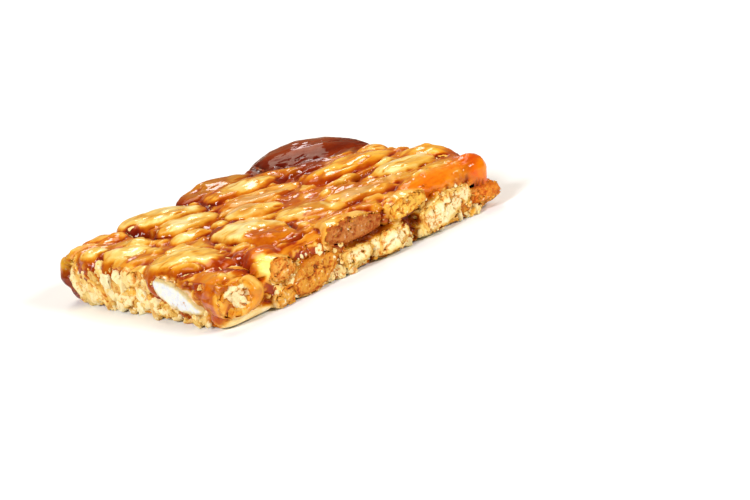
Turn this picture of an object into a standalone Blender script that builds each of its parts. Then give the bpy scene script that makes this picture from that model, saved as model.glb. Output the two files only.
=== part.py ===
"""Almond brittle: one square piece snapped from a slab of caramel packed with almond kernels.

The piece lies flat on its underside. +X runs along the longer broken side, +Y across it and +Z up,
with the origin at the middle of the underside. Lengths are in metres, from sizes given in millimetres.

The caramel is one solid with a socket for each kernel. Each kernel that shows is a solid of its own,
a hair smaller than its socket. Crumbs of nut that stick to the broken sides are fused to the caramel.
"""

import math
import random
from typing import NamedTuple

import bmesh
import bpy
from mathutils import Euler, Matrix, Vector, noise

MM = 0.001

# The set caramel, measured between the kernels.
LENGTH = 60.0 * MM
WIDTH = 52.0 * MM
CARAMEL_LEVEL = 8.6 * MM
EDGE_ROUND = 1.8 * MM
CORNER_ROUND = 3.2 * MM
TOP_WAVE = 0.6 * MM
SIDE_WAVE = 0.7 * MM
WAVES_PER_METRE = 130
DENTS_PER_METRE = 210
PRESSED_FLAT = 0.25 * MM
CELL = 3.0 * MM

# The form of an almond, as shares of its half length and of its thickness.
NOSE_TAPER = 0.20
END_TAPER = 0.12
FLATTER_BELOW = 0.92
SPLIT_LEVEL = 0.30
BREAK_REACH = 0.36
SKIN_BUMP = 0.25 * MM
BUMPS_PER_METRE = 180

# How a kernel sits in the caramel.
SOCKET_GAP = 0.3 * MM
FLOOR_FILM = 0.6 * MM
PROUD = (0.1 * MM, 0.9 * MM)
BREAK_TILT = math.radians(7)

# How finely the shapes are cut.
KERNEL_RINGS = 7
KERNEL_SIDES = 9
LUMP_DETAIL = 2
CRUMB_DETAIL = 1
TINY_EDGE = 0.02 * MM
FLAT_ANGLE = math.radians(8)

# The lower row of kernels along the two sides behind.
REAR_COUNT = 4
REAR_MARGIN = 4.0 * MM
REAR_DEPTH = 3.0 * MM

CRUMB_COUNT = 14
CRUMB_SIZE = (1.5 * MM, 2.9 * MM)
SEED = 7

CARAMEL_COLOUR = (0.42, 0.13, 0.02, 1)
GLAZED_COLOUR = (0.72, 0.36, 0.08, 1)
FLESH_COLOUR = (0.80, 0.60, 0.33, 1)
SKIN_COLOUR = (0.16, 0.035, 0.012, 1)


class Kernel(NamedTuple):
    """One almond or a piece of one: its centre and size in millimetres, its turn in degrees."""

    name: str
    form: str
    centre: tuple
    turn: tuple
    size: tuple


# Kernels that show on top. Turn is yaw, pitch (nose up) and roll; size is length, width, thickness.
TOP_KERNELS = (
    Kernel("almond_in_skin", "whole", (21.9, 17.0, 7.2), (-44, 0, 14), (25.5, 13.6, 9.0)),
    Kernel("left_white_cut", "whole", (-28.0, -13.0, 5.0), (-90, -20, 0), (14.5, 9.0, 5.0)),
    Kernel("top_gold_whole", "whole", (19.2, -0.4, 7.5), (-15, 0, 0), (21.0, 10.8, 7.6)),
    Kernel("top_front_corner", "whole", (-23.4, -11.6, 6.3), (-72, -7, 4), (22.0, 13.0, 7.6)),
    Kernel("top_gold_middle", "whole", (-10.4, -10.4, 7.0), (-82, 0, 0), (22.5, 11.4, 7.6)),
    Kernel("top_pale_right", "whole", (19.8, -12.4, 7.0), (153, 0, 0), (18.0, 11.2, 7.6)),
    Kernel("top_back_edge", "whole", (4.4, 23.2, 7.0), (-6, 0, 8), (18.0, 9.4, 7.2)),
    Kernel("top_tan_long", "whole", (5.4, 15.6, 7.0), (-17, 0, 0), (18.5, 9.4, 7.2)),
    Kernel("top_left_middle", "whole", (-10.2, 19.8, 7.3), (-35, 0, 0), (18.0, 10.6, 7.2)),
    Kernel("top_ridge", "whole", (0.6, -12.6, 6.6), (-46, 0, -10), (16.5, 10.0, 7.4)),
    Kernel("top_strand", "whole", (9.2, -16.2, 6.8), (-34, 0, 0), (18.5, 9.4, 6.8)),
    Kernel("top_pale_left", "broken", (-24.2, 9.6, 6.0), (-55, 0, 0), (15.0, 10.0, 7.0)),
    Kernel("top_pale_middle", "broken", (-11.4, 10.2, 6.9), (-22, 0, 0), (16.0, 9.2, 7.2)),
    Kernel("top_glazed_flat", "split", (3.0, 7.4, 7.0), (165, 0, 0), (18.0, 9.4, 7.6)),
    Kernel("top_back_right", "whole", (27.4, -11.8, 7.0), (-78, 0, 0), (16.0, 8.6, 7.2)),
    Kernel("top_left_edge", "whole", (-20.4, 22.0, 5.9), (-28, 0, 0), (14.5, 9.0, 6.8)),
    Kernel("top_left_tip", "broken", (-26.6, 16.6, 6.6), (-20, 0, 0), (8.6, 7.0, 6.2)),
    Kernel("top_small_middle", "broken", (-3.0, 0.6, 6.8), (-35, 0, 0), (14.5, 8.4, 7.0)),
    Kernel("top_small_left", "broken", (-14.6, 2.6, 6.5), (-30, 0, 0), (11.0, 7.0, 6.4)),
    Kernel("top_front_small", "whole", (-16.4, -21.2, 7.0), (22, 0, 0), (9.0, 6.8, 5.2)),
    Kernel("top_right_edge", "whole", (26.8, 5.4, 6.6), (82, 0, 0), (12.5, 7.6, 6.4)),
)

# Kernels snapped through along the two broken sides that meet at the front corner.
SIDE_KERNELS = (
    Kernel("corner_broken_end", "broken", (-24.4, -21.8, 4.6), (-123, 0, 0), (17.0, 10.4, 7.8)),
    Kernel("side_half_moon", "whole", (-10.2, -24.4, 3.1), (6, 12, 0), (11.5, 8.6, 5.8)),
    Kernel("side_long_slab", "broken", (-0.6, -24.2, 7.4), (2, -7, 0), (16.0, 8.6, 4.4)),
    Kernel("side_cream_chunk", "broken", (-1.2, -24.6, 3.0), (-6, 4, 0), (8.4, 7.0, 3.4)),
    Kernel("side_cream_large", "broken", (6.4, -24.6, 2.9), (8, 10, 0), (10.0, 8.0, 4.4)),
    Kernel("side_big_cream", "broken", (18.6, -23.8, 3.6), (4, 9, 0), (18.0, 9.4, 5.6)),
    Kernel("side_upper_piece", "broken", (11.0, -24.6, 7.3), (-4, 6, 0), (11.0, 6.8, 3.8)),
    Kernel("side_right_low", "whole", (27.2, -22.8, 3.0), (-48, 0, 0), (10.0, 7.2, 4.8)),
    Kernel("side_orange_chunk", "broken", (-16.6, -24.6, 6.2), (12, -12, 0), (7.8, 5.8, 4.6)),
    Kernel("side_low_small", "broken", (-16.6, -24.6, 2.0), (0, 18, 0), (8.4, 6.0, 2.8)),
    Kernel("left_slice_outer", "whole", (-28.2, 20.6, 4.6), (96, 74, 0), (7.6, 5.8, 3.2)),
    Kernel("left_slice_inner", "whole", (-28.4, 13.2, 3.4), (96, 40, 0), (9.0, 6.4, 3.4)),
    Kernel("left_low_cream", "broken", (-27.4, 5.2, 2.8), (92, 8, 0), (10.4, 7.0, 4.0)),
    Kernel("left_upper_chunk", "broken", (-27.8, 0.8, 6.6), (88, -8, 0), (8.6, 6.0, 3.6)),
    Kernel("left_low_front", "broken", (-27.6, -7.0, 2.0), (84, 0, 0), (11.6, 6.4, 2.6)),
)

# Spaces between the pieces that the caramel never filled: centre and half sizes, in millimetres.
GAPS = (
    ((3.0, -26.6, 5.2), (5.6, 3.4, 0.9)),
    ((12.4, -26.4, 4.2), (2.0, 3.4, 1.8)),
    ((-21.8, -21.4, 9.8), (3.0, 3.0, 2.6)),
    ((-17.6, 15.0, 9.8), (3.8, 1.8, 3.2)),
    ((-8.6, 5.0, 10.0), (4.2, 1.5, 3.4)),
    ((13.4, 6.6, 9.8), (4.0, 1.7, 2.9)),
    ((11.4, -7.4, 9.8), (1.9, 1.7, 2.8)),
    ((-30.6, 9.4, 1.6), (1.9, 2.6, 1.1)),
    ((-31.0, -2.4, 4.6), (1.7, 1.5, 1.2)),
)

# Lumps of caramel that stand out of the block: centre and radius, in millimetres.
CARAMEL_LUMPS = (
    ((27.4, -23.4, 7.4), 3.4),
    ((-28.2, 23.8, 5.0), 2.7),
    ((-19.8, -25.0, 7.6), 1.9),
)


def in_mm(values):
    """A vector in metres from three millimetre values."""
    return Vector(values) * MM


def material(name, colour, roughness):
    """A plain finish with no metal in it."""
    made = bpy.data.materials.new(name)
    made.use_nodes = True
    shader = made.node_tree.nodes["Principled BSDF"]
    shader.inputs["Base Color"].default_value = colour
    shader.inputs["Roughness"].default_value = roughness
    shader.inputs["Metallic"].default_value = 0.0
    return made


def new_object(name, bm, finish):
    """Turns a bmesh into an object of that name and frees the bmesh."""
    bmesh.ops.recalc_face_normals(bm, faces=bm.faces)
    mesh = bpy.data.meshes.new(name)
    bm.to_mesh(mesh)
    bm.free()
    mesh.materials.append(finish)
    mesh.shade_smooth()
    mesh.set_sharp_from_angle(angle=math.radians(42))
    made = bpy.data.objects.new(name, mesh)
    bpy.context.scene.collection.objects.link(made)
    return made


def cut_flat(bm, point, outward):
    """Cuts away everything past a plane and closes the cut."""
    geometry = bm.verts[:] + bm.edges[:] + bm.faces[:]
    cut = bmesh.ops.bisect_plane(
        bm, geom=geometry, dist=1e-7, plane_co=point, plane_no=outward, clear_outer=True
    )
    rim = [item for item in cut["geom_cut"] if isinstance(item, bmesh.types.BMEdge)]
    if rim:
        bmesh.ops.holes_fill(bm, edges=rim)


def kernel_shape(kernel, rng):
    """An almond: blunt at its root, pointed at its nose, a little flatter below than above."""
    length, width, thickness = in_mm(kernel.size)
    bm = bmesh.new()
    bmesh.ops.create_uvsphere(bm, u_segments=KERNEL_SIDES, v_segments=KERNEL_RINGS, radius=1)
    seed = Vector((rng.uniform(-50, 50) for _ in range(3)))
    for vert in bm.verts:
        across, up, along = vert.co
        taper = 1.0 - NOSE_TAPER * along - END_TAPER * along * along
        flatter = FLATTER_BELOW if up < 0 else 1.0
        vert.co = Vector(
            (
                along * length / 2,
                across * taper * width / 2,
                up * taper * flatter * thickness / 2,
            )
        )
        bump = noise.noise(vert.co * BUMPS_PER_METRE + seed)
        vert.co += vert.co.normalized() * bump * SKIN_BUMP
    if kernel.form == "split":
        lean = Vector((rng.uniform(-0.08, 0.08), rng.uniform(-0.08, 0.08), 1))
        cut_flat(bm, Vector((0, 0, thickness * SPLIT_LEVEL)), lean.normalized())
    if kernel.form == "broken":
        for end in (-1, 1):
            skew = Vector((end, rng.uniform(-0.45, 0.45), rng.uniform(-0.3, 0.45)))
            cut_flat(bm, Vector((end * length * BREAK_REACH, 0, 0)), skew.normalized())
    return bm


def seat(bm, kernel, rng):
    """Lays a kernel in the block, then trims what passes the block's broken sides and its floor."""
    yaw, pitch, roll = (math.radians(angle) for angle in kernel.turn)
    place = Matrix.Translation(in_mm(kernel.centre))
    bm.transform(place @ Euler((roll, -pitch, yaw)).to_matrix().to_4x4())
    sides = ((1, 0, LENGTH), (-1, 0, LENGTH), (0, 1, WIDTH), (0, -1, WIDTH))
    for x, y, across in sides:
        outward = Vector((x, y, 0))
        reach = across / 2 + rng.uniform(*PROUD)
        tilt = Vector((rng.uniform(-1, 1), rng.uniform(-1, 1), rng.uniform(-1, 1)))
        leaning = (outward + tilt * math.tan(BREAK_TILT)).normalized()
        through = Vector(kernel.centre) * MM
        point = through + outward * (reach - through.dot(outward))
        cut_flat(bm, point, leaning)
    cut_flat(bm, Vector((0, 0, FLOOR_FILM)), Vector((0, 0, -1)))


def socket_round(bm, gap):
    """The hollow that a kernel lies in: its convex hull, moved out by the gap."""
    socket = bm.copy()
    bmesh.ops.recalc_face_normals(socket, faces=socket.faces)
    socket.normal_update()
    moves = [vert.normal * gap * vert.calc_shell_factor() for vert in socket.verts]
    for vert, move in zip(socket.verts, moves):
        vert.co += move
    hull = bmesh.ops.convex_hull(socket, input=socket.verts)
    bmesh.ops.delete(socket, geom=hull["geom_interior"] + hull["geom_unused"], context="VERTS")
    spare = [face for face in socket.faces if face not in set(hull["geom"])]
    bmesh.ops.delete(socket, geom=spare, context="FACES_ONLY")
    return socket


def bounds(bm):
    """The lowest and highest corners of a bmesh."""
    points = [vert.co for vert in bm.verts]
    low = Vector(min(point[axis] for point in points) for axis in range(3))
    high = Vector(max(point[axis] for point in points) for axis in range(3))
    return low, high


def boxes_meet(first, second):
    """Whether two boxes share space."""
    return all(
        first[0][axis] < second[1][axis] and second[0][axis] < first[1][axis]
        for axis in range(3)
    )


def apply_modifiers(target):
    """Fixes the target's modifiers into its mesh."""
    graph = bpy.context.evaluated_depsgraph_get()
    result = bpy.data.meshes.new_from_object(target.evaluated_get(graph))
    target.modifiers.clear()
    target.data = result


def boolean(target, operation, tools):
    """Joins or cuts the target with several helper objects at once, then removes the helpers."""
    if not tools:
        return
    group = bpy.data.collections.new("helpers")
    for tool in tools:
        group.objects.link(tool)
    modifier = target.modifiers.new(operation.lower(), "BOOLEAN")
    modifier.operation = operation
    modifier.operand_type = "COLLECTION"
    modifier.solver = "EXACT"
    modifier.collection = group
    apply_modifiers(target)
    for tool in tools:
        bpy.data.objects.remove(tool)
    bpy.data.collections.remove(group)


def largest_body(target):
    """Keeps the target's largest connected body and drops loose scraps."""
    bm = bmesh.new()
    bm.from_mesh(target.data)
    left, bodies = set(bm.verts), []
    while left:
        body, waiting = set(), [left.pop()]
        while waiting:
            vert = waiting.pop()
            body.add(vert)
            fresh = {edge.other_vert(vert) for edge in vert.link_edges} & left
            left -= fresh
            waiting.extend(fresh)
        bodies.append(body)
    bodies.sort(key=len)
    for body in bodies[:-1]:
        bmesh.ops.delete(bm, geom=list(body), context="VERTS")
    bm.to_mesh(target.data)
    bm.free()


def merge_flats(target):
    """Joins the nearly flat faces and the tiny edges that many cuts leave."""
    bm = bmesh.new()
    bm.from_mesh(target.data)
    bmesh.ops.remove_doubles(bm, verts=bm.verts, dist=TINY_EDGE)
    bmesh.ops.dissolve_degenerate(bm, edges=bm.edges, dist=TINY_EDGE / 10)
    bmesh.ops.dissolve_limit(bm, angle_limit=FLAT_ANGLE, verts=bm.verts, edges=bm.edges)
    bmesh.ops.triangulate(bm, faces=bm.faces)
    bm.to_mesh(target.data)
    bm.free()


def side_kernels_behind(rng):
    """A lower row of kernels along the two broken sides away from the front corner."""
    row = []
    for side, yaw, depth, along in (("back", 0, WIDTH, LENGTH), ("right", 90, LENGTH, WIDTH)):
        step = (along - 2 * REAR_MARGIN) / REAR_COUNT
        for number in range(REAR_COUNT):
            place = -along / 2 + REAR_MARGIN + (number + rng.uniform(0.4, 0.6)) * step
            inward = depth / 2 - REAR_DEPTH
            flat = (place, inward) if side == "back" else (inward, place)
            centre = (flat[0] / MM, flat[1] / MM, rng.uniform(2.5, 3.0))
            turn = (yaw + rng.uniform(-14, 14), rng.uniform(-8, 8), 0)
            size = (rng.uniform(0.85, 1.0) * step / MM * 1.15, 8.4, rng.uniform(3.4, 4.4))
            form = rng.choice(("broken", "whole"))
            row.append(Kernel(f"{side}_low_{number + 1}", form, centre, turn, size))
    return row


def lump(centre, radii, detail, roughness, rng):
    """An uneven pebble of a shape."""
    bm = bmesh.new()
    bmesh.ops.create_icosphere(bm, subdivisions=detail, radius=1)
    seed = Vector((rng.uniform(-50, 50) for _ in range(3)))
    for vert in bm.verts:
        swell = 1 + roughness * noise.noise(vert.co * 1.3 + seed)
        vert.co = Vector(a * b for a, b in zip(vert.co * swell, radii)) + centre
    return bm


def caramel_block():
    """The block of caramel: rounded edges and corners, a wavy top and uneven broken sides."""
    bm = bmesh.new()
    bmesh.ops.create_cube(bm, size=1)
    spans = (LENGTH, WIDTH, CARAMEL_LEVEL)
    for axis, span in enumerate(spans):
        along = [e for e in bm.edges if abs((e.verts[0].co - e.verts[1].co)[axis]) > 1e-6]
        bmesh.ops.subdivide_edges(bm, edges=along, cuts=round(span / CELL), use_grid_fill=True)
    for vert in bm.verts:
        at = Vector(vert.co[axis] * span for axis, span in enumerate(spans))
        vert.co = rounded_box(at, spans)
        vert.co += unevenness(vert.co, spans)
        vert.co.z = max(vert.co.z + CARAMEL_LEVEL / 2, 0)
    for vert in bm.verts:
        if vert.co.z < PRESSED_FLAT:
            vert.co.z = 0
    flat = [face for face in bm.faces if all(v.co.z < 1e-9 for v in face.verts)]
    bmesh.ops.dissolve_faces(bm, faces=flat)
    return bm


def rounded_box(at, spans):
    """Moves a point of a box's surface on to the same box with rounded corners and edges."""
    half_x, half_y, half_z = (span / 2 for span in spans)
    in_x = max(-half_x + CORNER_ROUND, min(half_x - CORNER_ROUND, at.x))
    in_y = max(-half_y + CORNER_ROUND, min(half_y - CORNER_ROUND, at.y))
    out = Vector((at.x - in_x, at.y - in_y))
    reach = min(out.length, CORNER_ROUND)
    flat_way = out.normalized() if out.length > 1e-9 else Vector((0, 0))
    to_side = CORNER_ROUND - reach
    in_z = max(-half_z + EDGE_ROUND, min(half_z - EDGE_ROUND, at.z))
    rise = at.z - in_z
    drop_in = max(0.0, EDGE_ROUND - to_side)
    corner = math.hypot(drop_in, rise)
    if drop_in > 0 and corner > EDGE_ROUND:
        reach = CORNER_ROUND - EDGE_ROUND + drop_in * EDGE_ROUND / corner
        rise = rise * EDGE_ROUND / corner
    return Vector((in_x + flat_way.x * reach, in_y + flat_way.y * reach, in_z + rise))


def unevenness(at, spans):
    """Waves on top, dents in the sides and nothing on the flat underside."""
    height = max(0.0, min(1.0, at.z / spans[2] + 0.5))
    wave = noise.noise(at * WAVES_PER_METRE) + 0.5 * noise.noise(at * WAVES_PER_METRE * 2)
    outward = Vector((at.x / spans[0], at.y / spans[1], 0))
    near_side = max(abs(outward.x), abs(outward.y)) * 2
    side = max(0.0, (near_side - 0.85) / 0.15)
    return Vector((0, 0, wave * TOP_WAVE * height)) + outward.normalized() * (
        noise.noise(at * DENTS_PER_METRE + Vector((9, 4, 2))) * SIDE_WAVE * side
    )


def crumbs(rng):
    """Crumbs of nut stuck on the broken sides, spread evenly round the block."""
    around = 2 * (LENGTH + WIDTH)
    made = []
    for number in range(CRUMB_COUNT):
        travel = (number + rng.uniform(0.2, 0.8)) / CRUMB_COUNT * around
        size = rng.uniform(*CRUMB_SIZE)
        centre = on_side(travel, rng.uniform(1.6, 6.6) * MM, size * 0.15)
        radii = [size * rng.uniform(0.4, 0.65) for _ in range(3)]
        made.append(lump(centre, radii, CRUMB_DETAIL, 0.7, rng))
    return made


def on_side(travel, height, sunk):
    """The point at a distance round the block's sides, a little inside the surface."""
    for start, way, length in (
        (Vector((-LENGTH / 2, -WIDTH / 2, 0)), Vector((1, 0, 0)), LENGTH),
        (Vector((LENGTH / 2, -WIDTH / 2, 0)), Vector((0, 1, 0)), WIDTH),
        (Vector((LENGTH / 2, WIDTH / 2, 0)), Vector((-1, 0, 0)), LENGTH),
        (Vector((-LENGTH / 2, WIDTH / 2, 0)), Vector((0, -1, 0)), WIDTH),
    ):
        if travel < length:
            margin = CORNER_ROUND
            along = max(margin, min(length - margin, travel))
            inward = Vector((-way.y, way.x, 0))
            return start + way * along + inward * sunk + Vector((0, 0, height))
        travel -= length
    raise ValueError("travel is longer than the way round the block")


def centre_on_origin():
    """Moves the whole piece so that the middle of its box stands over the origin."""
    meshes = [made.data for made in bpy.data.objects if made.type == "MESH"]
    for axis in (0, 1):
        reach = [vert.co[axis] for mesh in meshes for vert in mesh.vertices]
        middle = (min(reach) + max(reach)) / 2
        shift = Vector((0, 0, 0))
        shift[axis] = -middle
        for mesh in meshes:
            mesh.transform(Matrix.Translation(shift))


def build():
    """Makes the kernels, each carved where an earlier one presses on it, then the caramel."""
    for old in list(bpy.data.objects):
        bpy.data.objects.remove(old)
    rng = random.Random(SEED)
    caramel = material("caramel", CARAMEL_COLOUR, 0.12)
    skin = material("almond_skin", SKIN_COLOUR, 0.30)
    glazed = material("glazed_kernel", GLAZED_COLOUR, 0.18)
    flesh = material("cut_kernel", FLESH_COLOUR, 0.60)
    sockets = []
    broken_through = (*SIDE_KERNELS, *side_kernels_behind(rng))
    for kernel in (*TOP_KERNELS, *broken_through):
        shape = kernel_shape(kernel, rng)
        seat(shape, kernel, rng)
        socket = socket_round(shape, SOCKET_GAP)
        box = bounds(socket)
        pressing = [
            new_object("press", other.copy(), flesh)
            for other, other_box in sockets
            if boxes_meet(box, other_box)
        ]
        finish = flesh if kernel in broken_through else glazed
        if kernel.name == "almond_in_skin":
            finish = skin
        made = new_object(kernel.name, shape, finish)
        boolean(made, "DIFFERENCE", pressing)
        largest_body(made)
        merge_flats(made)
        sockets.append((socket, box))
    block = new_object("caramel", caramel_block(), caramel)
    stuck = [
        lump(in_mm(at), [radius * MM] * 3, LUMP_DETAIL, 0.25, rng) for at, radius in CARAMEL_LUMPS
    ]
    stuck += crumbs(rng)
    boolean(block, "UNION", [new_object("stuck", shape, caramel) for shape in stuck])
    hollows = [lump(in_mm(at), in_mm(radii), LUMP_DETAIL, 0.5, rng) for at, radii in GAPS]
    hollows += [socket for socket, _ in sockets]
    boolean(block, "DIFFERENCE", [new_object("hollow", shape, caramel) for shape in hollows])
    largest_body(block)
    merge_flats(block)
    centre_on_origin()


build()
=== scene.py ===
"""Almond brittle: one square piece of caramel packed with almond kernels, on a pale studio floor.

The kernels come first, as they lie in the pan, then the caramel that is poured over them, then the
crumbs of the broken sides, and last the studio. Sizes are in millimetres unless a comment says
otherwise, and a pair of limits gives where a change starts and where it is complete.
"""

import bmesh
import bpy
import numpy as np
from mathutils import Euler, Matrix, Vector, noise
from mathutils.bvhtree import BVHTree
from mathutils.kdtree import KDTree


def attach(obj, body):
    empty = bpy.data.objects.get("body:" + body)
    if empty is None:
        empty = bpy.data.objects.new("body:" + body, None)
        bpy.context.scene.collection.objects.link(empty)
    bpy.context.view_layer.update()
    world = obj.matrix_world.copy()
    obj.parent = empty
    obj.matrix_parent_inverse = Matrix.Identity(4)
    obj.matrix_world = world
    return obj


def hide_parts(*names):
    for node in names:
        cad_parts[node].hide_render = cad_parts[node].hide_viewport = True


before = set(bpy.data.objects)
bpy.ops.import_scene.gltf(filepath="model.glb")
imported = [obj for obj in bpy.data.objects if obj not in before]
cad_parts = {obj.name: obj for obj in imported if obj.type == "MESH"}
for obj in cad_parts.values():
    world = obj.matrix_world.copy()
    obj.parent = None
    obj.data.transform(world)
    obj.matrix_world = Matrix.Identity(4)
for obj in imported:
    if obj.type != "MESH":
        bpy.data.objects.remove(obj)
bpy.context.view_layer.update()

# --------------------------------------------------------------------------------------------------
# The kernels under the glaze. Whole blanched almonds, split ones and broken ones, tumbled in the pan
# and rolled level. Each is a smooth seed with shallow dimples and a few creases along its length.
# --------------------------------------------------------------------------------------------------

METRES = 0.001
SAME_CORNER = 0.002
GLAZED_CELL = 0.40
GLAZED_SWELL = 0.22
GLAZED_ROUNDS = 7
GLAZED_HOLLOW = -0.2
GLAZED_SOAK = 0.1
DIMPLE_SIZE = 4.2
DIMPLE_DEPTH = 0.34
CREASE_WIDTH = 1.3
CREASE_STRETCH = (7, 1, 1)
CREASE_DEPTH = 0.09
# How much darker the creases are made: painted shade in them.
CREASE_SHADE = 4

# How high the pin left the top, how much higher towards the right end and between which places, and
# the share of its height above that level that a kernel kept.
ROLLED_LEVEL = 9.4
ROLLED_RISE = 0.9
RISES_BETWEEN = (2, 20)
ROLLED_SHARE = 0.45

CREAM = (0.98, 0.82, 0.44)
PALE = (0.96, 0.72, 0.29)
PEACH = (0.92, 0.58, 0.17)
GOLDEN = (0.92, 0.54, 0.08)
AMBER = (0.74, 0.24, 0.015)

# The flesh of each kernel, and how thick the caramel lies on it.
GLAZED_KERNELS = {
    "top_gold_whole": (GOLDEN, 0.66),
    "top_front_corner": ((0.98, 0.76, 0.30), 0.34),
    "top_gold_middle": (CREAM, 0.14),
    "top_pale_right": (CREAM, 0.26),
    "top_back_edge": ((0.55, 0.235, 0.03), 0.70),
    "top_tan_long": (PALE, 1.15),
    "top_left_middle": (CREAM, 0.46),
    "top_ridge": (PALE, 1.00),
    "top_strand": (PALE, 1.05),
    "top_pale_left": (CREAM, 0.32),
    "top_pale_middle": (CREAM, 0.38),
    "top_glazed_flat": (PEACH, 1.00),
    "top_back_right": (GOLDEN, 0.50),
    "top_left_edge": (PEACH, 0.95),
    "top_left_tip": (CREAM, 0.40),
    "top_small_middle": (PALE, 0.55),
    "top_small_left": (PALE, 0.65),
    "top_front_small": (AMBER, 1.10),
    "top_right_edge": (PEACH, 0.60),
}


def cad_solid(name, swell=0.0):
    """A node's solid in millimetres, its split corners joined again, grown by an amount."""
    bm = bmesh.new()
    bm.from_mesh(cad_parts[name].data)
    bmesh.ops.scale(bm, vec=(1 / METRES,) * 3, verts=bm.verts)
    bmesh.ops.remove_doubles(bm, verts=bm.verts, dist=SAME_CORNER)
    bmesh.ops.recalc_face_normals(bm, faces=bm.faces)
    bm.normal_update()
    moves = [vert.normal * swell * min(vert.calc_shell_factor(), 2.0) for vert in bm.verts]
    for vert, move in zip(bm.verts, moves):
        vert.co += move
    return bm


def applied(piece):
    """Gives a piece the mesh that its modifiers make."""
    before = piece.data
    graph = bpy.context.evaluated_depsgraph_get()
    piece.data = bpy.data.meshes.new_from_object(piece.evaluated_get(graph))
    piece.modifiers.clear()
    bpy.data.meshes.remove(before)


def voxel_skin(name, solids, cell):
    """One even mesh of small square faces round all the solids together."""
    joined = bmesh.new()
    for solid in solids:
        part = bpy.data.meshes.new("part")
        solid.to_mesh(part)
        solid.free()
        joined.from_mesh(part)
        bpy.data.meshes.remove(part)
    mesh = bpy.data.meshes.new(name)
    joined.to_mesh(mesh)
    joined.free()
    piece = bpy.data.objects.new(name, mesh)
    bpy.context.scene.collection.objects.link(piece)
    skin = piece.modifiers.new("skin", "REMESH")
    skin.mode = "VOXEL"
    skin.voxel_size = cell
    applied(piece)
    return piece


def points_of(mesh):
    """The mesh's points as an array."""
    flat = np.empty(len(mesh.vertices) * 3)
    mesh.vertices.foreach_get("co", flat)
    return flat.reshape(-1, 3)


def set_points(mesh, points):
    """Moves the mesh's points to those of an array."""
    mesh.vertices.foreach_set("co", np.ascontiguousarray(points, dtype=np.float32).ravel())
    mesh.update()


def normals_of(mesh):
    """The direction out of the surface at each point."""
    flat = np.empty(len(mesh.vertices) * 3)
    mesh.vertex_normals.foreach_get("vector", flat)
    return flat.reshape(-1, 3)


def softened(mesh, values, rounds):
    """Places or numbers at the points, each round drawn half way to the mean of their neighbours."""
    ends = np.empty(len(mesh.edges) * 2, dtype=np.int64)
    mesh.edges.foreach_get("vertices", ends)
    ends = ends.reshape(-1, 2)
    flat = values.reshape(len(values), -1)
    count = np.bincount(ends.ravel(), minlength=len(flat))[:, None]
    for _ in range(rounds):
        total = np.zeros_like(flat)
        for axis in range(flat.shape[1]):
            for one, other in (ends.T, ends.T[::-1]):
                total[:, axis] += np.bincount(one, weights=flat[other, axis], minlength=len(flat))
        flat = flat + (total / np.maximum(count, 1) - flat) * 0.5
    return flat.reshape(values.shape)


def ripples(points, size, seed, octaves=3, stretch=(1, 1, 1)):
    """Smooth noise from about -1 to 1 at each point, with waves of the given size."""
    at = points / (size * np.array(stretch)) + seed * 17.3
    return np.array([noise.fractal(Vector(p), 1.0, 2.0, octaves) for p in at])


def ramp(low, high, values):
    """0 below low, 1 above high and an even rise between."""
    share = np.clip((values - low) / (high - low), 0, 1)
    return share * share * (3 - 2 * share)


def put(mesh, name, values):
    """Stores one number or one colour for each point of the mesh."""
    if values.ndim == 1:
        layer = mesh.attributes.new(name, "FLOAT", "POINT")
        layer.data.foreach_set("value", values.astype(np.float32))
        return
    layer = mesh.attributes.new(name, "FLOAT_COLOR", "POINT")
    full = np.ones((len(values), 4), dtype=np.float32)
    full[:, :3] = values
    layer.data.foreach_set("color", full.ravel())


def put_flesh(mesh, colour, hollow, soaked):
    """Stores what a flesh material reads: the colour, its own tone with painted shade and highlight,
    and how deep caramel soaked in.
    """
    put(mesh, "nut_colour", np.broadcast_to(colour, (len(hollow), 3)))
    put(mesh, "hollow", hollow)
    put(mesh, "soaked", soaked)


def along_kernel(points):
    """Places measured along, across and through a kernel from its middle. Every seventh point is
    enough to find its long, middle and short directions."""
    from_middle = points - points.mean(0)
    _, _, axes = np.linalg.svd(from_middle[::7], full_matrices=False)
    return from_middle @ axes.T


def pressed_to(points, level):
    """How high the pin leaves the top over each point, from its level at the left end."""
    return level + ROLLED_RISE * ramp(*RISES_BETWEEN, points[:, 0])


def rolled(points):
    """The kernel as the pin left it: what stood above the level keeps a share of that height."""
    over = np.clip(points[:, 2] - pressed_to(points, ROLLED_LEVEL), 0, None)
    return points - over[:, None] * (0, 0, 1 - ROLLED_SHARE)


def add_node(tree, kind, inputs=(), **settings):
    """A shader node with its settings made, and its inputs set or linked, by place or by name."""
    made = tree.nodes.new(kind)
    for setting, value in settings.items():
        setattr(made, setting, value)
    given = inputs.items() if isinstance(inputs, dict) else enumerate(inputs)
    for key, value in given:
        if isinstance(value, bpy.types.NodeSocket):
            tree.links.new(value, made.inputs[key])
        else:
            made.inputs[key].default_value = value
    return made


def maths(tree, operation, *inputs):
    """The result of a maths node."""
    return add_node(tree, "ShaderNodeMath", inputs, operation=operation).outputs[0]


def rise(tree, value, low, high):
    """0 below low, 1 above high and a smooth rise between, in a material."""
    inputs = {"Value": value, "From Min": low, "From Max": high}
    node = add_node(tree, "ShaderNodeMapRange", inputs, interpolation_type="SMOOTHSTEP")
    return node.outputs["Result"]


def mixed(tree, share, first, second, way="MIX"):
    """A colour between two, or one colour laid over another. The node's colours are its inputs 6
    and 7, and its result in colour is its output 2."""
    inputs = {0: share, 6: first, 7: second}
    return add_node(tree, "ShaderNodeMix", inputs, data_type="RGBA", blend_type=way).outputs[2]


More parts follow.
